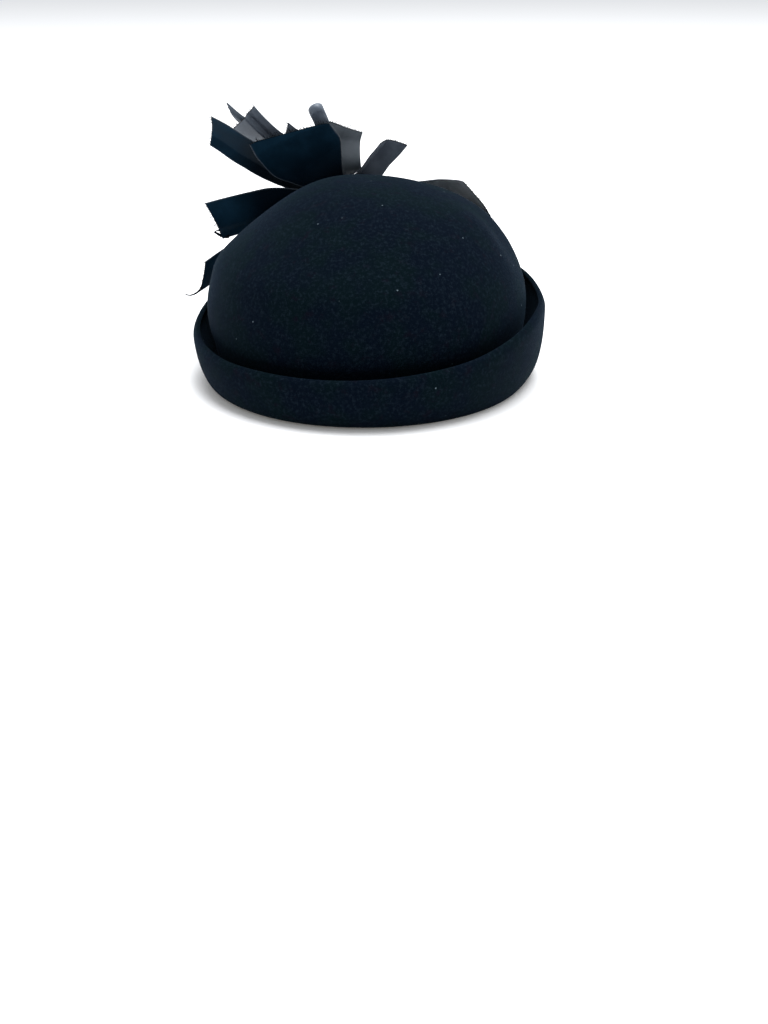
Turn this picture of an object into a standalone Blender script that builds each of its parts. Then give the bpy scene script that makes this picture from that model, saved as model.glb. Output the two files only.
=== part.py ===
"""A woman's black felt hat with a turned-up brim and a spray of cut ribbon at the left front.

Metres, +Z up. The hat rests on the underside of its brim at z = 0. The wearer faces -Y, so +Y is
the back of the hat and +X is the wearer's left. Angles round the hat start at +X and pass the back
at 90 degrees.
"""

import math
from functools import partial

import bmesh
import bpy
from mathutils import Matrix, Vector

# The head opening, inside the felt
HEAD_WIDTH = 0.160
HEAD_LENGTH = 0.196

# The felt, and the gap left between pieces that meet
FELT = 0.0025
GAP = 0.0003

# The crown: its greatest breadth and length outside, and its top above the floor
CROWN_WIDTH = 0.177
CROWN_LENGTH = 0.211
CROWN_HEIGHT = 0.1089

# The brim: the seam to the crown, the bend under it, the flat that it rests on, the room between
# the crown and its lip, how far that lip stands out from the head opening, its height at the
# front, and the lip's inward curl
SEAM_HEIGHT = 0.007
BRIM_BEND = 0.0035
BRIM_FLAT = 0.0025
BRIM_ROOM = 0.012
BRIM_REACH = BRIM_ROOM + max(CROWN_WIDTH - HEAD_WIDTH, CROWN_LENGTH - HEAD_LENGTH, 0) / 2
BRIM_HEIGHT = 0.058
LIP_CURL = 0.0045
LIP_TURN = 45.0

# The ribbon of the spray: its thickness, its width, its width where it is gathered, and the
# longest tail
RIBBON = 0.001
RIBBON_WIDTH = 0.050
RIBBON_PINCH = 0.008
TAIL_LENGTH = 0.090

# The one loop of the spray: the way it points, its length, its width, the breadth of its bend, how
# far it lifts off the crown as a share of its length, how far its legs twist, how far its edges
# droop, each leg's share of the strip, and the share of a leg that lies flat on the other one
LOOP_FAN = 64.0
LOOP_LENGTH = 0.0430
LOOP_WIDTH = 0.0085
LOOP_BEND = 0.0062
LOOP_LIFT_SHARE = 0.42
LOOP_TWIST = -8.0
LOOP_DROOP = 0.004
LOOP_LEG_SHARE = 0.43
LOOP_SHUT_SHARE = 0.2

# The knot over the gathered ends, where it sits on the crown, how far it leans back with the
# crown's slope, how far the gathered ends stand off the felt, and the layers of the gathered ribbon
# that the loop's legs and the knot's back take
KNOT_WIDTH = 0.019
KNOT_HEIGHT = 0.015
KNOT_DEPTH = 0.008
BOW_ANGLE = 283.0
BOW_HEIGHT_SHARE = 0.79
BOW_LEAN = 44.0
BOW_STAND = 0.0022
LOOP_LAYER = 11.8
KNOT_LAYER = 13.4

# How finely the shapes are divided
STATIONS = 40
CROWN_ROWS = 13
BEND_ROWS = 3
BOWL_ROWS = 8
LIP_ROWS = 2
CAP_ROWS = 3
TAIL_ROWS = 10
TAIL_COLUMNS = 6
LOOP_ROWS = 26

# Crown sections above the seam, as shares of CROWN_HEIGHT, of the greatest breadth, and of
# CROWN_WIDTH for the lean towards the wearer's right
CROWN_SECTIONS = (
    # height, breadth, lean
    (0.190, 0.958, 0.000),
    (0.285, 0.990, 0.000),
    (0.400, 0.998, 0.001),
    (0.500, 0.979, 0.003),
    (0.603, 0.935, 0.003),
    (0.707, 0.836, 0.016),
    (0.810, 0.703, 0.027),
    (0.897, 0.543, 0.022),
    (0.957, 0.362, 0.000),
    (0.991, 0.180, -0.022),
    (1.000, 0.000, -0.030),
)

# Soft dents in the crown: place round the hat and up it, how far each reaches, and how deep it
# is as a share of CROWN_WIDTH
CROWN_DENTS = (
    # angle, height, half_angle, half_height, depth
    (170.0, 0.74, 17.0, 0.24, 0.016),
)

# The brim round the hat: the lip's height as a share of BRIM_HEIGHT, how far it stands out as a
# share of BRIM_REACH, and how round its side is: 2 is a quarter ellipse, 1 is straight
BRIM_STATIONS = (
    # angle, height, reach, roundness
    (0.0, 0.541, 0.802, 1.35),
    (30.0, 0.459, 0.859, 1.64),
    (60.0, 0.451, 0.940, 2.00),
    (90.0, 0.470, 0.988, 1.70),
    (120.0, 0.542, 0.972, 1.45),
    (140.0, 0.636, 0.943, 1.40),
    (160.0, 0.746, 0.930, 1.60),
    (180.0, 0.772, 0.938, 2.30),
    (205.0, 0.876, 0.928, 2.50),
    (240.0, 0.946, 0.926, 2.40),
    (270.0, 0.982, 0.921, 2.10),
    (300.0, 0.884, 0.862, 1.70),
    (330.0, 0.687, 0.804, 1.40),
)

# The tails of the spray, from the crown outwards. fan is the way a tail's tip points, from the
# wearer's left (0) through up (90), and curve is how far it turns on its way there. length, lift
# and swing are shares of TAIL_LENGTH: lift and swing carry it off the crown evenly and towards
# its tip. width is a share of RIBBON_WIDTH, and open is how far along it reaches that width. roll
# twists it, cup hollows it, slant is the cut of its end, fold creases it along the line that crease
# places from one edge (-1) to the other (1), and sag is how far it hangs below its way out
TAILS = (
    # name, layer, fan, curve, length, lift, swing, width, open, roll, cup, fold, slant, crease, sag
    ("tail_side", 0, -10, 6, 0.90, 0.14, -0.20, 0.46, 0.6, 40, 0.20, 0.00, 0.03, 0.00, 0.000),
    ("tail_side_low", 1, -19, 24, 1.04, 0.36, -0.73, 0.28, 0.6, 35, 0.22, 0.00, -0.04, 0.00, 0.000),
    ("tail_right", 2, 148, -60, 0.84, 0.15, -0.62, 0.72, 1.25, -40, -0.03, 0.00, -0.01, 0.00, 0.000),
    ("tail_cupped", 3, 43, 4, 0.56, 0.17, 0.00, 0.97, 0.85, 0, -0.02, 0.00, -0.13, 0.00, 0.000),
    ("tail_right_up", 4.2, 131, -8, 0.42, 0.09, 0.00, 0.32, 0.35, 0, -0.22, 0.00, 0.08, 0.00, 0.000),
    ("tail_folded", 5.6, 84, 18, 0.40, 0.17, 0.00, 0.43, 0.75, 0, -0.12, 0.04, -0.07, 0.00, 0.000),
    ("tail_left", 6.6, 15, 20, 0.92, 0.28, 0.00, 0.36, 0.3, 0, 0.00, -0.10, 0.08, -0.40, 0.045),
    ("tail_short", 7.6, 33, 0, 0.48, 0.21, 0.00, 0.23, 0.9, 0, 0.00, 0.00, 0.07, 0.00, 0.000),
    ("tail_creased", 8.9, 17, 24, 0.69, 0.35, 0.00, 0.44, 0.6, 0, 0.00, 0.20, 0.03, 0.22, 0.000),
    ("tail_curled", 10, 10, 22, 0.70, 0.44, 0.00, 0.16, 0.6, 0, 0.20, 0.00, 0.10, 0.00, 0.000),
)

FELT_COLOUR = (0.006, 0.008, 0.012, 1.0)
RIBBON_COLOUR = (0.010, 0.013, 0.020, 1.0)
FELT_ROUGHNESS = 0.95
RIBBON_ROUGHNESS = 0.55


def smooth_through(rows, column, at):
    """A column's value at a place, on a smooth curve through rows whose column 0 is the place."""
    last = len(rows) - 1
    at = min(max(at, rows[0][0]), rows[last][0])
    low = max(i for i in range(last) if rows[i][0] <= at)

    def slope(i):
        before, after = rows[max(i - 1, 0)], rows[min(i + 1, last)]
        return (after[column] - before[column]) / (after[0] - before[0])

    start, end = rows[low], rows[low + 1]
    span = end[0] - start[0]
    t = (at - start[0]) / span
    return (
        start[column] * (1 + 2 * t) * (1 - t) ** 2
        + slope(low) * span * t * (1 - t) ** 2
        + end[column] * t * t * (3 - 2 * t)
        - slope(low + 1) * span * t * t * (1 - t)
    )


def ease(t):
    """A smooth step from 0 to 1."""
    t = min(max(t, 0.0), 1.0)
    return t * t * (3 - 2 * t)


def bump(t):
    """1 at 0, falling smoothly to 0 at -1 and 1."""
    return math.cos(math.pi / 2 * min(abs(t), 1.0)) ** 2


def oval(angle, half_width, half_length, height):
    return Vector((half_width * math.cos(angle), half_length * math.sin(angle), height))


def turned(profile_size, closed, place):
    """A profile spun round the hat, with each of its points put where place(angle, index) says."""
    bm = bmesh.new()
    line = [bm.verts.new((1.0 + index, 0, 0)) for index in range(profile_size)]
    for low, high in zip(line, line[1:] + line[:1] * closed):
        bm.edges.new((low, high))
    bmesh.ops.spin(
        bm,
        geom=bm.verts[:] + bm.edges[:],
        cent=(0, 0, 0),
        axis=(0, 0, 1),
        angle=math.tau,
        steps=STATIONS,
        use_merge=True,
    )
    for vertex in bm.verts:
        index = round(vertex.co.to_2d().length) - 1
        vertex.co = place(math.atan2(vertex.co.y, vertex.co.x), index)
    bmesh.ops.remove_doubles(bm, verts=bm.verts, dist=1e-6)
    bmesh.ops.recalc_face_normals(bm, faces=bm.faces)
    return bm


def finished(name, bm, material):
    """An object with this mesh and material, shaded smooth."""
    mesh = bpy.data.meshes.new(name)
    bm.to_mesh(mesh)
    bm.free()
    mesh.shade_smooth()
    mesh.set_sharp_from_angle(angle=math.radians(50))
    mesh.materials.append(material)
    made = bpy.data.objects.new(name, mesh)
    bpy.context.scene.collection.objects.link(made)
    return made


def finish(name, colour, roughness):
    material = bpy.data.materials.new(name)
    material.use_nodes = True
    shader = material.node_tree.nodes["Principled BSDF"]
    shader.inputs["Base Color"].default_value = colour
    shader.inputs["Roughness"].default_value = roughness
    return material


def crown_outline():
    """The crown outside, from seam to top: half width, half length, height and lean at each row."""
    rows = [(0, HEAD_WIDTH / 2 + FELT, HEAD_LENGTH / 2 + FELT, SEAM_HEIGHT + GAP, 0.0)]
    for place, (height, breadth, lean) in enumerate(CROWN_SECTIONS, 1):
        half_width, half_length = breadth * CROWN_WIDTH / 2, breadth * CROWN_LENGTH / 2
        rows.append((place, half_width, half_length, height * CROWN_HEIGHT, lean * CROWN_WIDTH))
    step = len(CROWN_SECTIONS) / CROWN_ROWS
    return [
        [smooth_through(rows, column, row * step) for column in (1, 2, 3, 4)]
        for row in range(CROWN_ROWS + 1)
    ]


def crown_dent(angle, height):
    """How far the crown is pushed in at this place."""
    depth = 0.0
    for middle, middle_height, half_angle, half_height, share in CROWN_DENTS:
        away = (math.degrees(angle) - middle + 180) % 360 - 180
        up = height / CROWN_HEIGHT - middle_height
        depth += share * CROWN_WIDTH * bump(away / half_angle) * bump(up / half_height)
    return depth


def crown_skin(angle, half_width, half_length, height, lean):
    point = oval(angle, half_width, half_length, height)
    inward = -point.to_2d().normalized() * crown_dent(angle, height)
    return point + Vector((inward.x - lean, inward.y, 0))


def crown_profile():
    """The crown's outer section from top to seam, then the inner one back up, FELT further in."""
    outer = crown_outline()
    inner = []
    for row, (half_width, half_length, height, lean) in enumerate(outer):
        below, above = outer[max(row - 1, 0)], outer[min(row + 1, CROWN_ROWS)]
        out, up = above[0] - below[0], above[2] - below[2]
        long = math.hypot(out, up)
        narrower, lower = FELT * up / long, FELT * out / long
        if row == CROWN_ROWS:
            narrower, lower = 0.0, -FELT
        inner.append((half_width - narrower, half_length - narrower, height + lower, lean))
    return outer[::-1] + inner


def make_crown(felt):
    profile = crown_profile()
    bm = turned(len(profile), False, lambda angle, index: crown_skin(angle, *profile[index]))
    return finished("crown", bm, felt)


def round_the_brim(column, angle):
    """A column of BRIM_STATIONS at an angle, on a smooth closed curve."""
    rows = [(row[0] + turn, *row[1:]) for turn in (-360, 0, 360) for row in BRIM_STATIONS]
    return smooth_through(rows, column, math.degrees(angle) % 360)


def brim_line(angle):
    """The middle of the brim's felt at this angle, from the seam to the lip: each point's distance
    out from the head opening and its height, with the way that the outer face looks there."""
    half = FELT / 2
    height, reach, roundness = (round_the_brim(column, angle) for column in (1, 2, 3))
    line = [((half, SEAM_HEIGHT), (-1.0, 0.0))]
    bend = half + BRIM_BEND
    for row in range(BEND_ROWS + 1):
        way = math.pi + math.pi / 2 * row / BEND_ROWS
        out, up = math.cos(way), math.sin(way)
        line.append(((bend + BRIM_BEND * out, bend + BRIM_BEND * up), (out, up)))
    turn = math.radians(LIP_TURN)
    foot = bend + BRIM_FLAT
    wide = BRIM_REACH * reach - half - foot
    rise = BRIM_HEIGHT * height - half - (LIP_CURL + half) * math.sin(turn)
    line.append(((foot, half), (0.0, -1.0)))
    for row in range(1, BOWL_ROWS):
        way = math.pi / 2 * row / BOWL_ROWS
        out = wide * math.sin(way) ** (2 / roundness)
        up = rise * (1 - math.cos(way) ** (2 / roundness))
        slope = math.atan2(rise * math.tan(way) ** (2 - 2 / roundness), wide)
        line.append(((foot + out, half + up), (math.sin(slope), -math.cos(slope))))
    for row in range(LIP_ROWS + 1):
        way = turn * row / LIP_ROWS
        out, up = math.cos(way), math.sin(way)
        place = (foot + wide - LIP_CURL * (1 - out), half + rise + LIP_CURL * up)
        line.append((place, (out, up)))
    return line


def brim_section(angle):
    """The closed outline of the brim's felt at this angle, as distances out and heights."""
    line = brim_line(angle)
    half = FELT / 2
    outer = [(out + half * way[0], up + half * way[1]) for (out, up), way in line]
    inner = [(out - half * way[0], up - half * way[1]) for (out, up), way in line]
    (end_out, end_up), end_way = line[-1]
    facing = math.atan2(end_way[1], end_way[0])
    cap = []
    for row in range(1, CAP_ROWS):
        way = facing + math.pi * row / CAP_ROWS
        cap.append((end_out + half * math.cos(way), end_up + half * math.sin(way)))
    return outer + cap + inner[::-1]


def make_brim(felt):
    size = len(brim_section(0.0))

    def place(angle, index):
        out, up = brim_section(angle)[index]
        return oval(angle, HEAD_WIDTH / 2 + out, HEAD_LENGTH / 2 + out, up)

    return finished("brim", turned(size, True, place), felt)


def bow_frame():
    """The place of the bow on the crown, and its ways to the wearer's left, up and out."""
    angle = math.radians(BOW_ANGLE)
    rows = [(height * CROWN_HEIGHT, breadth, lean) for height, breadth, lean in CROWN_SECTIONS]
    height = BOW_HEIGHT_SHARE * CROWN_HEIGHT
    breadth, lean = (smooth_through(rows, column, height) for column in (1, 2))
    half_width, half_length = breadth * CROWN_WIDTH / 2, breadth * CROWN_LENGTH / 2
    place = crown_skin(angle, half_width, half_length, height, lean * CROWN_WIDTH)
    level = Vector((math.cos(angle) / half_width, math.sin(angle) / half_length, 0)).normalized()
    lean_back = math.radians(BOW_LEAN)
    out = level * math.cos(lean_back) + Vector((0, 0, math.sin(lean_back)))
    up = Vector((0, 0, math.cos(lean_back))) - level * math.sin(lean_back)
    return place, up.cross(out), up, out


def stacked(layer):
    """How far out from the crown the middle of this layer of the gathered ribbon lies."""
    return BOW_STAND + RIBBON / 2 + layer * (RIBBON + GAP)


def past_knot(distance):
    """0 under the knot, growing to 1 beyond it: where a tail or leg is free to leave its layer."""
    return ease((distance - KNOT_HEIGHT / 2) / KNOT_WIDTH)


def tail_middle(frame, tail, at):
    """A point on the middle line of a tail, at a share of its length from the knot."""
    origin, left, up, out = frame
    _, layer, fan, curve, length, lift, swing, *_, sag = tail
    way = math.radians(fan - curve * (1 - at))
    reach = left * math.cos(way) + up * math.sin(way)
    across = up * math.cos(way) - left * math.sin(way)
    below = sag * 27 / 4 * at * (1 - at) ** 2
    off = TAIL_LENGTH * (lift * at + swing * at * at) * past_knot(TAIL_LENGTH * length * at)
    place = origin + TAIL_LENGTH * (reach * length * at - across * below)
    return place + out * (stacked(layer) + off)


def tail_point(frame, tail, along, across):
    """A point of a tail's middle surface, along it from 0 to 1 and across it from -1 to 1."""
    width, open_at, roll, cup, fold, slant, crease, _ = tail[7:]
    at = along * (1 + slant * across)
    step = 0.01
    middle = tail_middle(frame, tail, at)
    forward = (tail_middle(frame, tail, at + step) - tail_middle(frame, tail, at - step)).normalized()
    side = frame[3].cross(forward).normalized()
    side = Matrix.Rotation(math.radians(roll) * ease(at), 3, forward) @ side
    opened = ease(at / open_at)
    wide = RIBBON_PINCH + (RIBBON_WIDTH * width - RIBBON_PINCH) * opened
    hollow = cup * (across * across - 1 / 3) + fold * (abs(across - crease) - 0.5)
    raised = forward.cross(side) * wide * opened * hollow
    return middle + side * across * wide / 2 + raised


def loop_point(frame, along, across):
    """A point of the loop's middle surface: up one leg, over the bend and down the other leg."""
    origin, left, up, out = frame
    way = math.radians(LOOP_FAN)
    forward = left * math.cos(way) + up * math.sin(way)
    bend = LOOP_BEND / 2
    straight = LOOP_LENGTH - bend
    leg = min(along, 1 - along, LOOP_LEG_SHARE) / LOOP_LEG_SHARE
    twist = math.radians(LOOP_TWIST) * ease((leg - LOOP_SHUT_SHARE) / 0.5)
    side = out.cross(forward)
    normal = out * math.cos(twist) + side * math.sin(twist)
    across_way = side * math.cos(twist) - out * math.sin(twist)
    opened = ease((leg - LOOP_SHUT_SHARE) / (1 - LOOP_SHUT_SHARE))
    apart = (RIBBON + GAP) / 2
    apart += (bend - apart) * opened
    half_width = (RIBBON_PINCH + (LOOP_WIDTH - RIBBON_PINCH) * ease(leg)) / 2
    turned_by = math.pi * min(max((along - LOOP_LEG_SHARE) / (1 - 2 * LOOP_LEG_SHARE), 0), 1)
    off = stacked(LOOP_LAYER) + LOOP_LENGTH * LOOP_LIFT_SHARE * leg * past_knot(straight * leg)
    middle = origin + forward * (straight * leg + bend * math.sin(turned_by)) + out * off
    droop = LOOP_DROOP * across * across * opened
    apart *= math.cos(turned_by)
    return middle - normal * apart + across_way * across * half_width - forward * droop


def make_strip(name, rows, columns, place, ribbon):
    """A strip of ribbon whose middle surface is place(along, across)."""
    bm = bmesh.new()
    bmesh.ops.create_grid(bm, x_segments=rows, y_segments=columns, size=1.0)
    for vertex in bm.verts:
        vertex.co = place((vertex.co.x + 1) / 2, vertex.co.y)
    made = finished(name, bm, ribbon)
    thicken = made.modifiers.new("Solidify", "SOLIDIFY")
    thicken.thickness = RIBBON
    thicken.offset = 0
    thicken.use_even_offset = True
    return made


def make_knot(frame, ribbon):
    origin, left, up, out = frame
    bm = bmesh.new()
    bmesh.ops.create_cube(bm, size=1.0)
    bmesh.ops.scale(bm, verts=bm.verts, vec=(KNOT_WIDTH, KNOT_HEIGHT, KNOT_DEPTH))
    bmesh.ops.bevel(
        bm,
        geom=bm.edges[:],
        offset=KNOT_DEPTH * 0.3,
        offset_type="OFFSET",
        affect="EDGES",
        segments=2,
        profile=0.5,
        material=-1,
    )
    stood = origin + out * (stacked(KNOT_LAYER) - RIBBON / 2 + KNOT_DEPTH / 2)
    axes = Matrix((left, up, out)).transposed().to_4x4()
    bmesh.ops.transform(bm, verts=bm.verts, matrix=Matrix.Translation(stood) @ axes)
    return finished("knot", bm, ribbon)


def centre(pieces):
    """Moves the pieces so that the middle of their box stands over the origin."""
    bpy.context.view_layer.update()
    graph = bpy.context.evaluated_depsgraph_get()
    corners = [corner[:] for piece in pieces for corner in piece.evaluated_get(graph).bound_box]
    low, high = (Vector(map(limit, zip(*corners))) for limit in (min, max))
    middle = (low + high) / 2
    for piece in pieces:
        piece.location = (-middle.x, -middle.y, 0)


def main():
    for old in list(bpy.data.objects):
        bpy.data.objects.remove(old)
    felt = finish("black_felt", FELT_COLOUR, FELT_ROUGHNESS)
    ribbon = finish("black_ribbon", RIBBON_COLOUR, RIBBON_ROUGHNESS)
    pieces = [make_crown(felt), make_brim(felt)]
    frame = bow_frame()
    for tail in TAILS:
        place = partial(tail_point, frame, tail)
        pieces.append(make_strip(tail[0], TAIL_ROWS, TAIL_COLUMNS, place, ribbon))
    place = partial(loop_point, frame)
    pieces.append(make_strip("loop", LOOP_ROWS, TAIL_COLUMNS - 2, place, ribbon))
    pieces.append(make_knot(frame, ribbon))
    centre(pieces)


main()
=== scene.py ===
import math
import random
from collections import namedtuple
from functools import partial

import bmesh
import bpy
from mathutils import Matrix, Vector, noise


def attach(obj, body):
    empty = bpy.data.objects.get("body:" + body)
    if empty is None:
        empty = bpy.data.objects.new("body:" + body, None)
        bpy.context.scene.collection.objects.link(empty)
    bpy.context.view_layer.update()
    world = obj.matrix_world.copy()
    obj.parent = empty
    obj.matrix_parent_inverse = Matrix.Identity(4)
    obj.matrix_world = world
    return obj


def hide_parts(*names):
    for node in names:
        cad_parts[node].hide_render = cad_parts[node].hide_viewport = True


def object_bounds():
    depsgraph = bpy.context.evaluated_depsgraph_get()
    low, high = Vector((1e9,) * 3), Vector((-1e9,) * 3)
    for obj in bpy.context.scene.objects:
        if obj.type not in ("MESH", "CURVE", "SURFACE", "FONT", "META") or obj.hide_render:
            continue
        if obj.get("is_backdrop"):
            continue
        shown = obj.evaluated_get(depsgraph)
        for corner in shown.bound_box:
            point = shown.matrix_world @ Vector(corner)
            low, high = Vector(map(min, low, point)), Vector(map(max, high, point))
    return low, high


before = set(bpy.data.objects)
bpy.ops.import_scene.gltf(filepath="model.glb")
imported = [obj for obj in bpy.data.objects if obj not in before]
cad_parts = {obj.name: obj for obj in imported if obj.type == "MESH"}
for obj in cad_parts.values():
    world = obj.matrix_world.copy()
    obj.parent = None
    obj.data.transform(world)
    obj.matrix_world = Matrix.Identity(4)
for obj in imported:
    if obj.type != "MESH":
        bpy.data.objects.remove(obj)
cad_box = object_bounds()

# The hat stands on a table as it would by itself, and is seen from behind the wearer and a little
# above. Metres, +Z up. The wearer faces -Y, so +Y is the back of the hat and +X the wearer's left.
OPENING = Vector((0.000189, -0.000687, 0.0))
SEEN_FROM = 0.9
SEEN_AT = math.radians(15.5)
FOCAL_PIXELS = 1579.0
PICTURE = Vector((768.0, 1024.0))
OPENING_PIXEL = Vector((367.5, 371.5))
SENSOR = 36.0

aside, down = OPENING_PIXEL - PICTURE / 2
pitch = SEEN_AT - math.atan2(down, FOCAL_PIXELS)
yaw = math.atan2(aside, math.hypot(FOCAL_PIXELS, down))
ahead = Vector((math.sin(yaw), -math.cos(yaw) * math.cos(pitch), -math.cos(yaw) * math.sin(pitch)))
lens = bpy.data.cameras.new("camera")
lens.sensor_width = SENSOR
lens.lens = FOCAL_PIXELS / PICTURE.y * SENSOR
camera = bpy.data.objects.new("camera", lens)
bpy.context.scene.collection.objects.link(camera)
camera.location = OPENING + SEEN_FROM * Vector((0, math.cos(SEEN_AT), math.sin(SEEN_AT)))
camera.rotation_euler = ahead.to_track_quat("-Z", "Y").to_euler()
bpy.context.scene.camera = camera

# The crown is a round dome of wool felt, blocked over a wooden form in one piece. The felt is
# 2.5 mm thick, dyed black with a cold cast, and brushed to a short soft nap. One shallow dent
# lies high on the wearer's right.
HEAD_WIDTH = 0.160
HEAD_LENGTH = 0.196
FELT = 0.0025
SEAM_HEIGHT = 0.007
CROWN_WIDTH = 0.177
CROWN_LENGTH = 0.211
CROWN_HEIGHT = 0.1089
CROWN_ROWS = 60
CROWN_STATIONS = 200
CROWN_SECTIONS = (
    # height, breadth, lean
    (0.190, 0.958, 0.000),
    (0.285, 0.990, 0.000),
    (0.400, 0.998, 0.001),
    (0.500, 0.979, 0.003),
    (0.603, 0.935, 0.003),
    (0.707, 0.836, 0.016),
    (0.810, 0.703, 0.027),
    (0.897, 0.543, 0.022),
    (0.957, 0.362, 0.000),
    (0.991, 0.180, -0.022),
    (1.000, 0.000, -0.030),
)
CROWN_DENTS = (
    # angle, height, half_angle, half_height, depth
    (170.0, 0.74, 17.0, 0.24, 0.016),
)
# Hand-blocked felt is never quite even: how far its skin wanders, and over what distance. Blender
# seeds noise vectors by the clock, so they are given a seed here
UNEVEN = 0.00025
UNEVEN_OVER = 0.030
UNEVEN_SEED = 7
noise.seed_set(UNEVEN_SEED)


def smooth_through(rows, column, at):
    """A column's value at a place, on a smooth curve through rows whose column 0 is the place."""
    last = len(rows) - 1
    at = min(max(at, rows[0][0]), rows[last][0])
    low = max(i for i in range(last) if rows[i][0] <= at)

    def slope(i):
        before, after = rows[max(i - 1, 0)], rows[min(i + 1, last)]
        return (after[column] - before[column]) / (after[0] - before[0])

    start, end = rows[low], rows[low + 1]
    span = end[0] - start[0]
    t = (at - start[0]) / span
    return (
        start[column] * (1 + 2 * t) * (1 - t) ** 2
        + slope(low) * span * t * (1 - t) ** 2
        + end[column] * t * t * (3 - 2 * t)
        - slope(low + 1) * span * t * t * (1 - t)
    )


def bump(t):
    """1 at 0, falling smoothly to 0 at -1 and 1."""
    return math.cos(math.pi / 2 * min(abs(t), 1.0)) ** 2


def blocked(point):
    """A point of the felt, moved by the slight unevenness of hand blocking."""
    wander = noise.noise_vector(point / UNEVEN_OVER) * UNEVEN
    return point + wander * min(point.z / SEAM_HEIGHT, 1.0)


def oval(angle, half_width, half_length, height):
    """A point at this angle and height on an oval with these half axes."""
    return Vector((half_width * math.cos(angle), half_length * math.sin(angle), height))


def turned(profile_size, closed, stations, place):
    """A profile spun round the hat, with each of its points put where place(angle, index) says."""
    bm = bmesh.new()
    line = [bm.verts.new((1.0 + index, 0, 0)) for index in range(profile_size)]
    for low, high in zip(line, line[1:] + line[:1] * closed):
        bm.edges.new((low, high))
    bmesh.ops.spin(
        bm,
        geom=bm.verts[:] + bm.edges[:],
        cent=(0, 0, 0),
        axis=(0, 0, 1),
        angle=math.tau,
        steps=stations,
        use_merge=True,
    )
    for vertex in bm.verts:
        index = round(vertex.co.to_2d().length) - 1
        vertex.co = OPENING + blocked(place(math.atan2(vertex.co.y, vertex.co.x), index))
    bmesh.ops.remove_doubles(bm, verts=bm.verts, dist=1e-6)
    bmesh.ops.recalc_face_normals(bm, faces=bm.faces)
    return bm


def piece_of(name, bm, material, slot, *stands_for):
    """A finished piece of the hat, shaded smooth, in place of its plain solids."""
    mesh = bpy.data.meshes.new(name)
    bm.to_mesh(mesh)
    bm.free()
    mesh.shade_smooth()
    mesh.materials.append(material)
    piece = bpy.data.objects.new(name, mesh)
    bpy.context.scene.collection.objects.link(piece)
    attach(piece, "root")
    if stands_for:
        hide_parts(*stands_for)
    return piece


class Dye:
    """A socket of a material's nodes. Sums and products of it add Math nodes, node() any other."""

    def __init__(self, tree, socket=None):
        self.tree = tree
        self.socket = socket

    def node(self, kind, settings, sockets, output=0):
        """A new node of this kind with these settings and sockets, as one of its outputs."""
        made = self.tree.nodes.new("ShaderNode" + kind)
        for name, value in settings.items():
            setattr(made, name, value)
        for name, value in sockets.items():
            if isinstance(value, Dye):
                self.tree.links.new(value.socket, made.inputs[name])
            else:
                made.inputs[name].default_value = value
        return Dye(self.tree, made.outputs[output])

    def math(self, operation, *values):
        return self.node("Math", {"operation": operation}, dict(enumerate(values)))

    def __add__(self, other):
        return self.math("ADD", self, other)

    def __sub__(self, other):
        return self.math("SUBTRACT", self, other)

    def __rsub__(self, other):
        return self.math("SUBTRACT", other, self)

    def __mul__(self, other):
        return self.math("MULTIPLY", self, other)

    __radd__ = __add__
    __rmul__ = __mul__

    def noise(self, where, size, detail=2.0, roughness=0.5):
        """Cloudy values from 0 to 1, with clouds of this size in metres."""
        sockets = {"Vector": where, "Scale": 1 / size, "Detail": detail, "Roughness": roughness}
        return self.node("TexNoise", {}, sockets)

    def between(self, low, high):
        """0 where the value is at most low, 1 where it is at least high."""
        sockets = {"Value": self, "From Min": low, "From Max": high}
        return self.node("MapRange", {"interpolation_type": "SMOOTHSTEP"}, sockets)

    def mixed(self, first, second):
        """The first colour where the value is 0, the second where it is 1."""
        return self.node(
            "Mix", {"data_type": "RGBA"}, {0: self, 6: first, 7: second}, output=2
        )


def new_material(name, even):
    """A material with its Principled shader's even values set: (material, shader, dye)."""
    material = bpy.data.materials.new(name)
    material.use_nodes = True
    shader = material.node_tree.nodes["Principled BSDF"]
    for socket, value in even.items():
        shader.inputs[socket].default_value = value
    return material, shader, Dye(material.node_tree)


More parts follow.
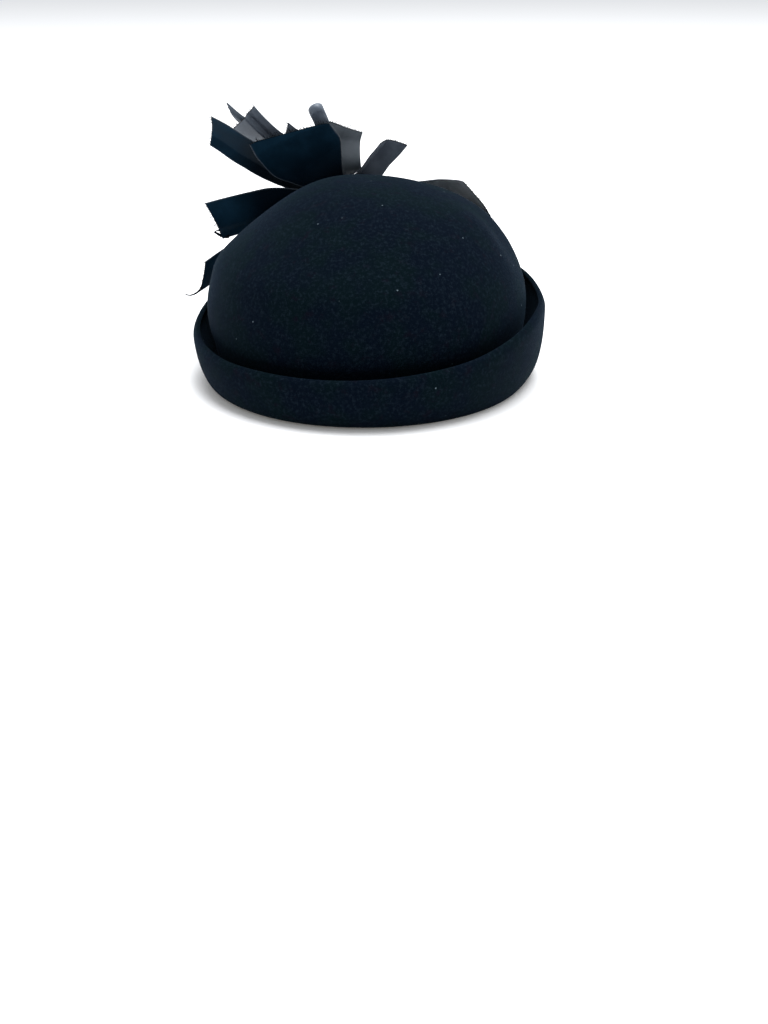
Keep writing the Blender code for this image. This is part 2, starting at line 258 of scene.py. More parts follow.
def felt_finish():
    """Black wool felt: a soft nap that catches light at its edges, faint clouds of blue and green
    in the dye, a fine grain and here and there a pale speck of lint."""
    material, shader, dye = new_material("black_felt", {
        "Specular IOR Level": 0.015,
        "Sheen Weight": 0.038,
        "Sheen Roughness": 0.35,
        "Sheen Tint": (0.32, 0.58, 0.90, 1.0),
    })
    where = dye.node("TexCoord", {}, {}, output="Object")
    clouds = dye.noise(where, 0.020, detail=3.0)
    patches = dye.noise(where, 0.0065, detail=4.0, roughness=0.6)
    grain = dye.noise(where, 0.0017, detail=4.0, roughness=0.75)
    nap = dye.noise(where, 0.00028, detail=2.0, roughness=0.6)
    navy = (0.0011, 0.0030, 0.0070, 1)
    green = (0.0011, 0.0042, 0.0060, 1)
    violet = (0.0028, 0.0032, 0.0068, 1)
    dyed = clouds.between(0.40, 0.62).mixed(navy, green)
    dyed = patches.between(0.55, 0.72).mixed(dyed, violet)
    worn = grain.between(0.46, 0.74) * 0.65 + nap.between(0.55, 0.9) * 0.35
    dyed = worn.mixed(dyed, (0.009, 0.016, 0.024, 1))
    lint = dye.node("TexVoronoi", {"feature": "F1"}, {"Vector": where, "Scale": 95.0})
    chosen = dye.noise(where, 0.012, detail=0.0)
    specks = (1 - lint.between(0.025, 0.055)) * chosen.between(0.46, 0.52)
    dyed = specks.mixed(dyed, (0.09, 0.12, 0.14, 1))
    fluff = grain * 0.6 + nap * 0.4
    raised = dye.node("Bump", {}, {"Strength": 0.55, "Distance": 0.0004, "Height": fluff})
    rough = patches * 0.12 + 0.86
    for socket, value in (("Base Color", dyed), ("Roughness", rough), ("Normal", raised)):
        dye.tree.links.new(value.socket, shader.inputs[socket])
    return material


def crown_outline():
    """The crown outside, from seam to top: half width, half length, height and lean at each row."""
    rows = [(0, HEAD_WIDTH / 2 + FELT, HEAD_LENGTH / 2 + FELT, SEAM_HEIGHT, 0.0)]
    for place, (height, breadth, lean) in enumerate(CROWN_SECTIONS, 1):
        half_width, half_length = breadth * CROWN_WIDTH / 2, breadth * CROWN_LENGTH / 2
        rows.append((place, half_width, half_length, height * CROWN_HEIGHT, lean * CROWN_WIDTH))
    step = len(CROWN_SECTIONS) / CROWN_ROWS
    return [
        [smooth_through(rows, column, row * step) for column in (1, 2, 3, 4)]
        for row in range(CROWN_ROWS + 1)
    ]


def crown_dent(angle, height):
    """How far the crown is pushed in at this place."""
    depth = 0.0
    for middle, middle_height, half_angle, half_height, share in CROWN_DENTS:
        away = (math.degrees(angle) - middle + 180) % 360 - 180
        up = height / CROWN_HEIGHT - middle_height
        depth += share * CROWN_WIDTH * bump(away / half_angle) * bump(up / half_height)
    return depth


def crown_skin(angle, half_width, half_length, height, lean):
    """A point of the crown at this angle, pushed in where it is dented and leaning to one side."""
    point = oval(angle, half_width, half_length, height)
    inward = -point.to_2d().normalized() * crown_dent(angle, height)
    return point + Vector((inward.x - lean, inward.y, 0))


def crown_profile():
    """The crown's outer section from top to seam, then the inner one back up, FELT further in."""
    outer = crown_outline()
    inner = []
    for row, (half_width, half_length, height, lean) in enumerate(outer):
        below, above = outer[max(row - 1, 0)], outer[min(row + 1, CROWN_ROWS)]
        out, up = above[0] - below[0], above[2] - below[2]
        long = math.hypot(out, up)
        narrower, lower = FELT * up / long, FELT * out / long
        if row == CROWN_ROWS:
            narrower, lower = 0.0, -FELT
        inner.append((half_width - narrower, half_length - narrower, height + lower, lean))
    return outer[::-1] + inner


felt = felt_finish()
profile = crown_profile()
crown_bm = turned(
    len(profile), False, CROWN_STATIONS, lambda angle, index: crown_skin(angle, *profile[index])
)
piece_of("felt_crown", crown_bm, felt, "felt", "crown")

# The brim is the same felt, bent up all round into a deep cuff that stands clear of the crown. It
# rests on the narrow flat under its bend, it is highest over the brow, and its raw edge is rolled
# in towards the crown.
BRIM_BEND = 0.0035
BRIM_FLAT = 0.0025
BRIM_REACH = 0.0205
BRIM_HEIGHT = 0.058
LIP_CURL = 0.0045
LIP_TURN = 45.0
BRIM_STATIONS_ROUND = 240
BEND_ROWS = 8
BOWL_ROWS = 30
LIP_ROWS = 7
CAP_ROWS = 8
BRIM_STATIONS = (
    # angle, height, reach, roundness
    (0.0, 0.541, 0.802, 1.35),
    (30.0, 0.459, 0.859, 1.64),
    (60.0, 0.451, 0.940, 2.00),
    (90.0, 0.470, 0.988, 1.70),
    (120.0, 0.542, 0.972, 1.45),
    (140.0, 0.636, 0.943, 1.40),
    (160.0, 0.746, 0.930, 1.60),
    (180.0, 0.772, 0.938, 2.30),
    (205.0, 0.876, 0.928, 2.50),
    (240.0, 0.946, 0.926, 2.40),
    (270.0, 0.982, 0.921, 2.10),
    (300.0, 0.884, 0.862, 1.70),
    (330.0, 0.687, 0.804, 1.40),
)


def round_the_brim(column, angle):
    """A column of BRIM_STATIONS at an angle, on a smooth closed curve."""
    rows = [(row[0] + turn, *row[1:]) for turn in (-360, 0, 360) for row in BRIM_STATIONS]
    return smooth_through(rows, column, math.degrees(angle) % 360)


def brim_line(angle):
    """The middle of the brim's felt at this angle, from the seam to the lip: each point's distance
    out from the head opening and its height, with the way that the outer face looks there."""
    half = FELT / 2
    height, reach, roundness = (round_the_brim(column, angle) for column in (1, 2, 3))
    line = [((half, SEAM_HEIGHT), (-1.0, 0.0))]
    bend = half + BRIM_BEND
    for row in range(BEND_ROWS + 1):
        way = math.pi + math.pi / 2 * row / BEND_ROWS
        out, up = math.cos(way), math.sin(way)
        line.append(((bend + BRIM_BEND * out, bend + BRIM_BEND * up), (out, up)))
    turn = math.radians(LIP_TURN)
    foot = bend + BRIM_FLAT
    wide = BRIM_REACH * reach - half - foot
    rise = BRIM_HEIGHT * height - half - (LIP_CURL + half) * math.sin(turn)
    line.append(((foot, half), (0.0, -1.0)))
    for row in range(1, BOWL_ROWS):
        way = math.pi / 2 * row / BOWL_ROWS
        out = wide * math.sin(way) ** (2 / roundness)
        up = rise * (1 - math.cos(way) ** (2 / roundness))
        slope = math.atan2(rise * math.tan(way) ** (2 - 2 / roundness), wide)
        line.append(((foot + out, half + up), (math.sin(slope), -math.cos(slope))))
    for row in range(LIP_ROWS + 1):
        way = turn * row / LIP_ROWS
        out, up = math.cos(way), math.sin(way)
        place = (foot + wide - LIP_CURL * (1 - out), half + rise + LIP_CURL * up)
        line.append((place, (out, up)))
    return line


def brim_section(angle):
    """The closed outline of the brim's felt at this angle, as distances out and heights."""
    line = brim_line(angle)
    half = FELT / 2
    outer = [(out + half * way[0], up + half * way[1]) for (out, up), way in line]
    inner = [(out - half * way[0], up - half * way[1]) for (out, up), way in line]
    (end_out, end_up), end_way = line[-1]
    facing = math.atan2(end_way[1], end_way[0])
    cap = []
    for row in range(1, CAP_ROWS):
        way = facing + math.pi * row / CAP_ROWS
        cap.append((end_out + half * math.cos(way), end_up + half * math.sin(way)))
    return outer + cap + inner[::-1]


brim_sections = {}


def brim_place(angle, index):
    """A point of the brim's section at this angle. Each section is worked out once."""
    key = round(angle, 6)
    if key not in brim_sections:
        brim_sections[key] = brim_section(angle)
    out, up = brim_sections[key][index]
    return oval(angle, HEAD_WIDTH / 2 + out, HEAD_LENGTH / 2 + out, up)


brim_bm = turned(len(brim_section(0.0)), True, BRIM_STATIONS_ROUND, brim_place)
piece_of("felt_brim", brim_bm, felt, "felt", "brim")

# The spray is one length of black ribbon, folded back and forth, gathered in the middle and sewn
# to the crown at the wearer's front left. One face of the ribbon is dull and the other silky. Its
# ends are cut bare, so they fan out and fray into short threads.
RIBBON = 0.0004
RIBBON_WIDTH = 0.050
RIBBON_PINCH = 0.008
LAYER = 0.0013
TAIL_LENGTH = 0.090
TAIL_ROWS = 90
TAIL_COLUMNS = 40
KNOT_WIDTH = 0.019
KNOT_HEIGHT = 0.015
BOW_ANGLE = 283.0
BOW_HEIGHT = 0.79
BOW_LEAN = 44.0
BOW_STAND = 0.0027
RIB = 0.00045
THREAD = 0.00026
FRAY = 0.0026
FRAYED_EVERY = 0.0010
FRAY_ROOT = 0.0004
FRAY_SPREAD = 0.22
RIBBON_UNEVEN = 0.0005
RIBBON_UNEVEN_OVER = 0.014
# A tail's layer in the stack; the degrees that it points from the wearer's left towards up and that
# it curves on the way; its length, and how far it lifts and swings off the crown, as shares of
# TAIL_LENGTH; its width as a share of RIBBON_WIDTH, and the share of its length over which it opens;
# the degrees that it rolls; how deep it is cupped and folded as shares of its width; the slant of its
# cut end as a share of its length; where across it the fold lies, from -1 to 1; and how far it sags
# as a share of TAIL_LENGTH
Tail = namedtuple(
    "Tail",
    "name layer fan curve length lift swing width open roll cup fold slant crease sag inner outer",
)
TAILS = [Tail(*row) for row in (
    # name, layer, fan, curve, length, lift, swing, width, open, roll, cup, fold, slant, crease, sag,
    # inner, outer
    ("tail_side", 0, -14.1, 6.9, 0.899, 0.13, -0.149, 0.472, 0.6, 40, 0.20, 0.00, 0.032, 0.00, 0.000,
     "dull", "plain silky"),
    ("tail_side_low", 1, -21.6, 39.6, 1.058, 0.338, -0.676, 0.317, 0.6, 35, 0.04, 0.00, -0.031, 0.00, 0.000,
     "dull", "plain silky"),
    ("tail_right", 2, 147, -58.6, 0.828, 0.159, -0.628, 0.703, 1.25, -40, -0.03, 0.00, -0.012, 0.00, 0.000,
     "lit_brightest", "plain dull"),
    ("tail_cupped", 3, 40.2, 12.9, 0.532, 0.19, 0.00, 0.975, 0.711, 0, -0.038, 0.00, -0.095, 0.00, 0.000,
     "dull", "plain silky"),
    ("tail_right_up", 4.2, 128.5, -9.2, 0.422, 0.09, 0.00, 0.327, 0.29, 0, -0.14, -0.15, 0.082, -0.25, 0.000,
     "silky", "plain dull"),
    ("tail_folded", 7.6, 85.4, 26.4, 0.358, 0.15, 0.00, 0.47, 0.267, 0, -0.04, 0.04, -0.029, 0.00, 0.000,
     "pale", "plain dull"),
    ("tail_left", 6.6, 15, 12.7, 0.907, 0.28, 0.00, 0.46, 0.3, -6.4, 0.00, -0.10, 0.074, -0.40, 0.088,
     "dull", "plain silky"),
    ("tail_short", 7.6, 33, 0, 0.48, 0.21, 0.00, 0.23, 0.9, 0, 0.00, 0.00, 0.07, 0.00, 0.000,
     "silky", "plain dull"),
    ("tail_creased", 8.9, 17.7, 28.2, 0.686, 0.35, 0.00, 0.415, 0.6, 0, 0.00, 0.20, 0.036, 0.22, 0.000,
     "silky", "plain silky"),
    ("tail_curled", 10, 11.5, 18.8, 0.72, 0.44, 0.00, 0.11, 0.6, 0, 0.29, 0.00, 0.08, 0.00, 0.000,
     "silky", "plain silky"),
)]
# Margins turned over along a tail: where the crease runs across it at the cut end and at the
# root, how far along it starts, and how far the margin beyond it turns out from the crown
FOLDS = (
    # tail, at_end, at_root, start, turn
    ("tail_cupped", -0.86, -0.80, 0.35, -24.0),
    ("tail_cupped", 0.93, 0.90, 0.40, -30.0),
)
# Soft hollows along a tail: where across it they run, their half width, and their depth as a share
# of the tail's width
HOLLOWS = (
    # tail, middle, half_width, depth
    ("tail_creased", 0.42, 0.26, 0.09),
    ("tail_side", -0.62, 0.40, 0.05),
)
# Cut ends bent over: how far along the tail the bend lies at its two edges, and how far it turns
BENT_ENDS = (
    # tail, first_edge, second_edge, turn
    ("tail_cupped", 0.88, 1.00, 34.0),
)


def ease(t):
    """A smooth step from 0 to 1."""
    t = min(max(t, 0.0), 1.0)
    return t * t * (3 - 2 * t)


def bow_frame():
    """The place of the bow on the crown, and its ways to the wearer's left, up and out."""
    angle = math.radians(BOW_ANGLE)
    rows = [(height * CROWN_HEIGHT, breadth, lean) for height, breadth, lean in CROWN_SECTIONS]
    height = BOW_HEIGHT * CROWN_HEIGHT
    breadth, lean = (smooth_through(rows, column, height) for column in (1, 2))
    half_width, half_length = breadth * CROWN_WIDTH / 2, breadth * CROWN_LENGTH / 2
    place = crown_skin(angle, half_width, half_length, height, lean * CROWN_WIDTH)
    level = Vector((math.cos(angle) / half_width, math.sin(angle) / half_length, 0)).normalized()
    lean_back = math.radians(BOW_LEAN)
    out = level * math.cos(lean_back) + Vector((0, 0, math.sin(lean_back)))
    up = Vector((0, 0, math.cos(lean_back))) - level * math.sin(lean_back)
    return OPENING + place, up.cross(out), up, out


bow = bow_frame()


def stacked(layer):
    """How far out from the crown the middle of this layer of the gathered ribbon lies."""
    return BOW_STAND + layer * LAYER


def past_knot(distance):
    """0 under the knot, growing to 1 beyond it: where a tail or leg is free to leave its layer."""
    return ease((distance - KNOT_HEIGHT / 2) / KNOT_WIDTH)


def tail_middle(tail, at):
    """A point on the middle line of a tail, at a share of its length from the knot."""
    origin, left, up, out = bow
    way = math.radians(tail.fan - tail.curve * (1 - at))
    reach = left * math.cos(way) + up * math.sin(way)
    across = up * math.cos(way) - left * math.sin(way)
    below = TAIL_LENGTH * tail.sag * 27 / 4 * at * (1 - at) ** 2
    long = TAIL_LENGTH * tail.length * at
    off = TAIL_LENGTH * (tail.lift * at + tail.swing * at * at) * past_knot(long)
    return origin + reach * long - across * below + out * (stacked(tail.layer) + off)


def width_at(tail, at):
    """A tail's width at a share of its length: gathered under the knot and wider as it opens."""
    return RIBBON_PINCH + (RIBBON_WIDTH * tail.width - RIBBON_PINCH) * ease(at / tail.open)


def tail_point(tail, along, across):
    """A point of a tail's middle surface, along it from 0 to 1 and across it from -1 to 1."""
    at = along * (1 + tail.slant * across)
    step = 0.01
    middle = tail_middle(tail, at)
    forward = (tail_middle(tail, at + step) - tail_middle(tail, at - step)).normalized()
    side = bow[3].cross(forward).normalized()
    side = Matrix.Rotation(math.radians(tail.roll) * ease(at), 3, forward) @ side
    opened = ease(at / tail.open)
    wide = width_at(tail, at)
    sideways, onward = across * wide / 2, 0.0
    hollow = tail.cup * (across * across - 1 / 3) + tail.fold * (abs(across - tail.crease) - 0.5)
    raised = wide * opened * hollow
    for name, at_end, at_root, start, turn in FOLDS:
        crease = at_end + (at_root - at_end) * (1 - along)
        beyond = (across - crease) * (1 if at_end > 0 else -1) * wide / 2
        if name == tail.name and beyond > 0:
            turned_by = math.radians(turn) * ease((along - start) / (1 - start))
            raised += math.sin(turned_by) * beyond
            sideways -= (1 - math.cos(turned_by)) * beyond * (1 if at_end > 0 else -1)
    for name, middle_across, half_width, depth in HOLLOWS:
        if name == tail.name:
            raised += depth * wide * opened * bump((across - middle_across) / half_width)
    for name, first_edge, second_edge, turn in BENT_ENDS:
        bend = first_edge + (second_edge - first_edge) * (across + 1) / 2
        if name == tail.name and along > bend:
            beyond = (along - bend) * TAIL_LENGTH * tail.length
            raised += math.sin(math.radians(turn)) * beyond
            onward -= (1 - math.cos(math.radians(turn))) * beyond
    wander = noise.noise((middle + side * sideways) / RIBBON_UNEVEN_OVER)
    raised += RIBBON_UNEVEN * opened * wander
    return middle + side * sideways + forward.cross(side) * raised + forward * onward


def ribbon_finish(name, dark, pale, root, tint, rough, gloss, sheen):
    """One face of the black ribbon: fine cross ribs, a painted highlight along its woven edges, a
    darker cut end, and painted shade that deepens towards the knot. Its UV gives the distances in
    metres from the cut end and from the nearer woven edge."""
    material, shader, dye = new_material(name, {
        "Specular IOR Level": gloss,
        "Specular Tint": tint,
        "Sheen Weight": sheen,
        "Sheen Roughness": 0.45,
        "Sheen Tint": tint,
    })
    where = dye.node("TexCoord", {}, {}, output="Object")
    cloth = dye.node("UVMap", {"uv_map": "cloth"}, {})
    from_end = dye.node("SeparateXYZ", {}, {"Vector": cloth}, output="X")
    from_edge = dye.node("SeparateXYZ", {}, {"Vector": cloth}, output="Y")
    worn = dye.noise(where, 0.011, detail=3.0).between(0.35, 0.70)
    # Painted shade: the colour darkens to the root colour from 8 mm to 34 mm in from the cut end.
    deep = from_end.between(0.008, 0.034)
    dyed = deep.mixed(worn.mixed(dark, pale), root)
    # Painted highlight: a lighter line along the woven edges, where they catch the light.
    edge = 1 - from_edge.between(0.0003, 0.0008)
    dyed = (edge * 0.45).mixed(dyed, (0.075, 0.090, 0.110, 1))
    cut = 1 - from_end.between(0.0001, 0.0006)
    dyed = cut.mixed(dyed, (0.001, 0.0015, 0.003, 1))
    ribs = dye.math("SINE", from_end * (math.tau / RIB))
    weave = dye.noise(where, 0.0004, detail=1.0)
    raised = dye.node(
        "Bump", {}, {"Strength": 0.25, "Distance": 0.00006, "Height": ribs * 0.5 + weave * 0.7}
    )
    roughness = worn * 0.10 + rough
    for socket, value in (("Base Color", dyed), ("Roughness", roughness), ("Normal", raised)):
        dye.tree.links.new(value.socket, shader.inputs[socket])
    return material


# The faces of the ribbon. Those that look back over the crown, dull or silky, are painted lighter and
# bluer than the plain faces: painted light. Those that look to the front have the plain colours
RIBBON_FACES = {
    # Painted light: the dull face turned back over the crown, lighter and bluer than the plain dull face.
    "dull": ribbon_finish(
        "dull_ribbon",
        dark=(0.0022, 0.0100, 0.0200, 1),
        pale=(0.0040, 0.0160, 0.0310, 1),
        root=(0.0004, 0.0016, 0.0040, 1),
        tint=(0.30, 0.72, 1.00, 1),
        rough=0.58,
        gloss=0.04,
        sheen=0.02,
    ),
    # Painted light: the silky face turned back over the crown, several times lighter than plain silky.
    "silky": ribbon_finish(
        "silky_ribbon",
        dark=(0.070, 0.086, 0.112, 1),
        pale=(0.115, 0.138, 0.172, 1),
        root=(0.045, 0.057, 0.076, 1),
        tint=(0.85, 0.93, 1.00, 1),
        rough=0.40,
        gloss=0.45,
        sheen=0.07,
    ),
    # Painted light: a still lighter copy of the silky face, for the folded tail.
    "pale": ribbon_finish(
        "lit_pale_ribbon",
        dark=(0.095, 0.112, 0.130, 1),
        pale=(0.130, 0.150, 0.172, 1),
        root=(0.080, 0.095, 0.110, 1),
        tint=(0.85, 0.93, 1.00, 1),
        rough=0.42,
        gloss=1.0,
        sheen=0.15,
    ),
    # Painted light: the lightest copy, for the right tail, painted bright though the crown shades it.
    "lit_brightest": ribbon_finish(
        "lit_brightest_ribbon",
        dark=(0.190, 0.225, 0.255, 1),
        pale=(0.260, 0.300, 0.335, 1),
        root=(0.165, 0.195, 0.220, 1),
        tint=(0.85, 0.93, 1.00, 1),
        rough=0.42,
        gloss=1.0,
        sheen=0.15,
    ),
    "plain dull": ribbon_finish(
        "plain_dull_ribbon",
        dark=(0.0040, 0.0065, 0.0105, 1),
        pale=(0.0070, 0.0105, 0.0160, 1),
        root=(0.0025, 0.0040, 0.0065, 1),
        tint=(0.60, 0.80, 1.00, 1),
        rough=0.60,
        gloss=0.10,
        sheen=0.02,
    ),
    "plain silky": ribbon_finish(
        "plain_silky_ribbon",
        dark=(0.0090, 0.0120, 0.0165, 1),
        pale=(0.0150, 0.0195, 0.0260, 1),
        root=(0.0060, 0.0080, 0.0115, 1),
        tint=(0.85, 0.93, 1.00, 1),
        rough=0.36,
        gloss=0.55,
        sheen=0.02,
    ),
}


def make_strip(name, node, rows, columns, place, from_end, wide, faces):
    """A strip of ribbon whose middle surface is place(along, across), with these two faces.
    from_end(along) is the distance from its cut end, and wide(along) is its width there."""
    bm = bmesh.new()
    bmesh.ops.create_grid(bm, x_segments=rows, y_segments=columns, size=1.0)
    cloth = bm.loops.layers.uv.new("cloth")
    for face in bm.faces:
        for loop in face.loops:
            along, across = (loop.vert.co.x + 1) / 2, loop.vert.co.y
            loop[cloth].uv = (from_end(along), wide(along) / 2 * (1 - abs(across)))
    for vertex in bm.verts:
        vertex.co = place((vertex.co.x + 1) / 2, vertex.co.y)
    piece = piece_of(name, bm, faces[0], "ribbon", node)
    piece.data.materials.append(faces[1])
    thicken = piece.modifiers.new("Solidify", "SOLIDIFY")
    thicken.thickness = RIBBON
    thicken.offset = 0
    thicken.use_even_offset = True
    thicken.material_offset = 1
    return piece


def add_strand(bm, path, radius):
    """A thin twisted strand of frayed ribbon through these points, thinner towards its tip."""
    curve = bpy.data.curves.new("strand", "CURVE")
    curve.dimensions = "3D"
    curve.bevel_depth = radius
    curve.bevel_resolution = 1
    curve.use_fill_caps = True
    line = curve.splines.new("POLY")
    line.points.add(len(path) - 1)
    for index, (point, place) in enumerate(zip(line.points, path)):
        point.co = (*place, 1.0)
        point.radius = 1.0 - 0.7 * index / len(path)
    strand = bpy.data.objects.new("strand", curve)
    mesh = bpy.data.meshes.new_from_object(strand)
    bm.from_mesh(mesh)
    bpy.data.meshes.remove(mesh)
    bpy.data.objects.remove(strand)
    bpy.data.curves.remove(curve)


def end_axes(tail, across):
    """The ways onward, sideways and off the face of a tail at its cut end."""
    tip = tail_point(tail, 1.0, across)
    onward = (tip - tail_point(tail, 0.995, across)).normalized()
    inner = tail_point(tail, 1.0, across * 0.98 if abs(across) > 0.1 else across - 0.02)
    sideways = (tip - inner) * (1 if across > 0 or abs(across) <= 0.1 else -1)
    sideways = (sideways - onward * sideways.dot(onward)).normalized()
    return tip, onward, sideways, onward.cross(sideways)


# Longer strands that have worked loose at a corner of a cut end and curl away from it, in
# millimetres onward, sideways and off the face from that corner
STRANDS = (
    # tail, corner, radius, path
    ("tail_side_low", -1, 0.00070, (
        (-2.5, 2.1, 0.1), (-0.6, 0.6, 0.3), (1.1, -0.4, 0.8), (2.7, -1.3, 1.8),
        (4.2, -1.8, 3.0), (5.3, -1.8, 4.5), (5.8, -1.4, 6.0),
    )),
    ("tail_side", -1, 0.00125, (
        (-4.0, 0.8, -0.2), (-1.7, 0.7, 0.5), (0.1, 0.9, 1.7), (1.5, 1.2, 3.0),
        (2.6, 1.7, 4.3), (3.4, 1.9, 5.2),
    )),
    ("tail_side", -1, 0.00045, (
        (3.2, 1.9, 4.9), (2.1, 2.3, 5.2), (0.6, 2.6, 5.1), (-0.5, 2.7, 4.7),
    )),
)
threads = random.Random(7)
for tail in TAILS:
    faces = (RIBBON_FACES[tail.outer], RIBBON_FACES[tail.inner])
    long = TAIL_LENGTH * tail.length
    piece = make_strip(
        "ribbon_" + tail.name, tail.name, TAIL_ROWS, TAIL_COLUMNS, partial(tail_point, tail),
        lambda along: long * (1 - along), partial(width_at, tail), faces,
    )
    bm = bmesh.new()
    count = round(width_at(tail, 1.0) / FRAYED_EVERY)
    for index in range(count):
        across = min(max(-1 + 2 * (index + threads.uniform(0.1, 0.9)) / count, -0.98), 0.98)
        tip, onward, sideways, off = end_axes(tail, across)
        spread, lifted = threads.gauss(0, FRAY_SPREAD), threads.gauss(0, FRAY_SPREAD)
        way = onward + sideways * spread + off * lifted
        reach = FRAY * threads.uniform(0.25, 1.0) ** 1.4
        place = Matrix.Translation(tip + way.normalized() * (reach / 2 - FRAY_ROOT / 2))
        bmesh.ops.create_cone(
            bm,
            cap_ends=True,
            segments=3,
            radius1=THREAD,
            radius2=THREAD * 0.5,
            depth=reach + FRAY_ROOT,
            matrix=place @ way.to_track_quat("Z", "Y").to_matrix().to_4x4(),
        )
    for name, corner, radius, path in STRANDS:
        if name == tail.name:
            tip, onward, sideways, off = end_axes(tail, corner)
            add_strand(bm, [
                tip + (onward * a + sideways * b + off * c) / 1000 for a, b, c in path
            ], radius)
    # The frayed threads take the dull face painted lighter and bluer: painted light.
    fringe = piece_of("fray_" + tail.name, bm, RIBBON_FACES["dull"], "ribbon")
    area = long * sum(width_at(tail, step / 50) for step in range(51)) / 51

# One loop of the same ribbon stands up among the cut ends, seen nearly edge on. Its two legs are
# caught under the knot with the rest.
LOOP_ROWS = 120
LOOP_COLUMNS = 28
LOOP_FAN = 61.5
LOOP_LENGTH = 0.0440
LOOP_WIDTH = 0.0085
LOOP_BEND = 0.0062
LOOP_LIFT = 0.42
LOOP_TWIST = -8.0
LOOP_DROOP = 0.0042
LOOP_ROUND = 0.96
LOOP_PAST_CUT = 0.002
LOOP_LEG = 0.43
LOOP_SHUT = 0.2
LOOP_LAYER = 11.8


def loop_width(along):
    """The loop's width at a place along it, gathered under the knot at both ends."""
    leg = min(along, 1 - along, LOOP_LEG) / LOOP_LEG
    return RIBBON_PINCH + (LOOP_WIDTH - RIBBON_PINCH) * ease(leg)


def loop_point(along, across):
    """A point of the loop's middle surface: up one leg, over the bend and down the other leg."""
    origin, left, up, out = bow
    way = math.radians(LOOP_FAN)
    forward = left * math.cos(way) + up * math.sin(way)
    bend = LOOP_BEND / 2
    straight = LOOP_LENGTH - bend
    leg = min(along, 1 - along, LOOP_LEG) / LOOP_LEG
    twist = math.radians(LOOP_TWIST) * ease((leg - LOOP_SHUT) / 0.5)
    side = out.cross(forward)
    normal = out * math.cos(twist) + side * math.sin(twist)
    across_way = side * math.cos(twist) - out * math.sin(twist)
    apart = LAYER / 2
    apart += (bend - apart) * ease((leg - LOOP_SHUT) / (1 - LOOP_SHUT))
    turned_by = math.pi * min(max((along - LOOP_LEG) / (1 - 2 * LOOP_LEG), 0), 1)
    off = stacked(LOOP_LAYER) + LOOP_LENGTH * LOOP_LIFT * leg * past_knot(straight * leg)
    middle = origin + forward * (straight * leg + bend * math.sin(turned_by)) + out * off
    rounded = LOOP_DROOP * (1 - math.sqrt(1 - LOOP_ROUND * across * across))
    middle -= forward * rounded * ease((leg - LOOP_SHUT) / (1 - LOOP_SHUT))
    sideways = across_way * across * loop_width(along) / 2
    return middle - normal * apart * math.cos(turned_by) + sideways


loop_long = 2 * (LOOP_LENGTH - LOOP_BEND / 2) + math.pi / 2 * LOOP_BEND
# Both faces of the loop take the silky face painted lighter: painted light.
loop = make_strip(
    "ribbon_loop", "loop", LOOP_ROWS, LOOP_COLUMNS, loop_point,
    lambda along: LOOP_PAST_CUT + loop_long * abs(along - 0.5), loop_width,
    (RIBBON_FACES["silky"], RIBBON_FACES["silky"]),
)

# The knot is a short band of the same ribbon, wrapped once round the gathered middle and pleated
# as it is pulled tight. It is sewn through to the crown.
KNOT_DEPTH = 0.008
KNOT_LAYER = 13.4
KNOT_SQUARE = 0.55
PLEATS = 2.5
PLEAT_DEPTH = 0.0005
KNOT_FROM_EDGE = 0.004


def squared(value):
    """A coordinate of a ball, moved out towards the faces of the cube round it."""
    return math.copysign(abs(value) ** KNOT_SQUARE, value)


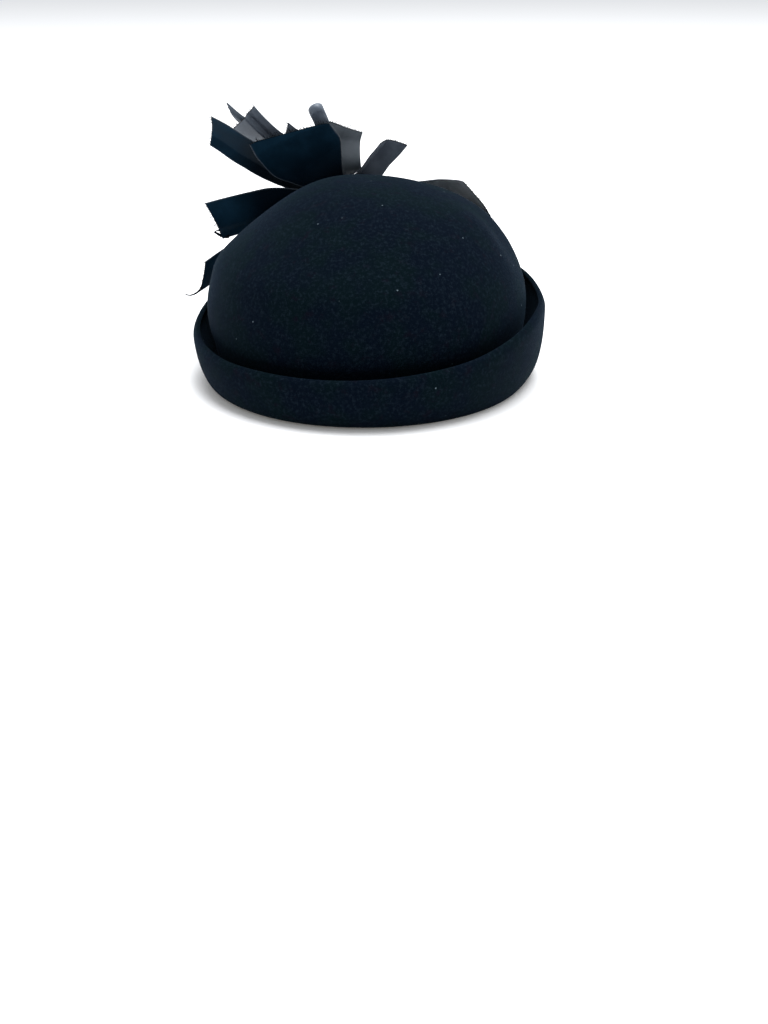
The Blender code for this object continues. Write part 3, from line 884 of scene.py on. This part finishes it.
origin, left, up, out = bow
bm = bmesh.new()
bmesh.ops.create_uvsphere(bm, u_segments=96, v_segments=48, radius=1.0)
cloth = bm.loops.layers.uv.new("cloth")
for face in bm.faces:
    for loop_corner in face.loops:
        loop_corner[cloth].uv = (KNOT_WIDTH, KNOT_FROM_EDGE)
middle = origin + out * (stacked(KNOT_LAYER) - RIBBON / 2 + KNOT_DEPTH / 2)
for vertex in bm.verts:
    deep, tall, wide = (squared(value) for value in vertex.co)
    pleat = PLEAT_DEPTH * (math.sin(math.pi * PLEATS * wide) - 1) * (1 - wide * wide)
    vertex.co = (
        middle
        + left * wide * KNOT_WIDTH / 2
        + up * tall * (KNOT_HEIGHT / 2 + pleat * abs(tall))
        + out * deep * (KNOT_DEPTH / 2 + pleat * abs(deep))
    )
bmesh.ops.recalc_face_normals(bm, faces=bm.faces)
piece_of("ribbon_knot", bm, RIBBON_FACES["plain silky"], "ribbon", "knot")

# The hat stands on a seamless white sweep, in the soft even light of a studio. One broad light
# hangs overhead and a little towards the front, with a faint one on the wearer's right. White walls
# all round, which are the world here, fill the shadows.
FLOOR = 12.0
LIT_HEIGHT = 0.06
bm = bmesh.new()
bmesh.ops.create_grid(bm, x_segments=1, y_segments=1, size=FLOOR)
mesh = bpy.data.meshes.new("floor")
bm.to_mesh(mesh)
bm.free()
paper, paper_shader, paper_dye = new_material("white_paper", {
    "Base Color": (0.88, 0.89, 0.91, 1.0),
    "Roughness": 0.9,
    "Specular IOR Level": 0.0,
    "Emission Color": (1.0, 0.95, 0.80, 1.0),
    "Emission Strength": 0.075,
})
mesh.materials.append(paper)
floor = bpy.data.objects.new("floor", mesh)
bpy.context.scene.collection.objects.link(floor)
floor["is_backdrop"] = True
LIGHTS = (
    # name, place, size, power
    ("overhead", (-0.3, -0.3, 2.9), 2.2, 145.0),
    ("right_side", (-1.4, 0.3, 1.6), 1.0, 3.0),
)
for name, place, size, power in LIGHTS:
    light = bpy.data.lights.new(name, "AREA")
    light.size = size
    light.energy = power
    lamp = bpy.data.objects.new(name, light)
    lamp.location = place
    towards = Vector((0, 0, LIT_HEIGHT)) - lamp.location
    lamp.rotation_euler = towards.to_track_quat("-Z", "Y").to_euler()
    bpy.context.scene.collection.objects.link(lamp)
world = bpy.data.worlds.new("studio")
bpy.context.scene.world = world
world.use_nodes = True
world.node_tree.nodes["Background"].inputs["Color"].default_value = (0.95, 0.97, 1.0, 1.0)
world.node_tree.nodes["Background"].inputs["Strength"].default_value = 0.66
bpy.context.scene.view_settings.view_transform = "Standard"

size = {"cad": [list(corner) for corner in cad_box], "visual": [list(c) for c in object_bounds()]}
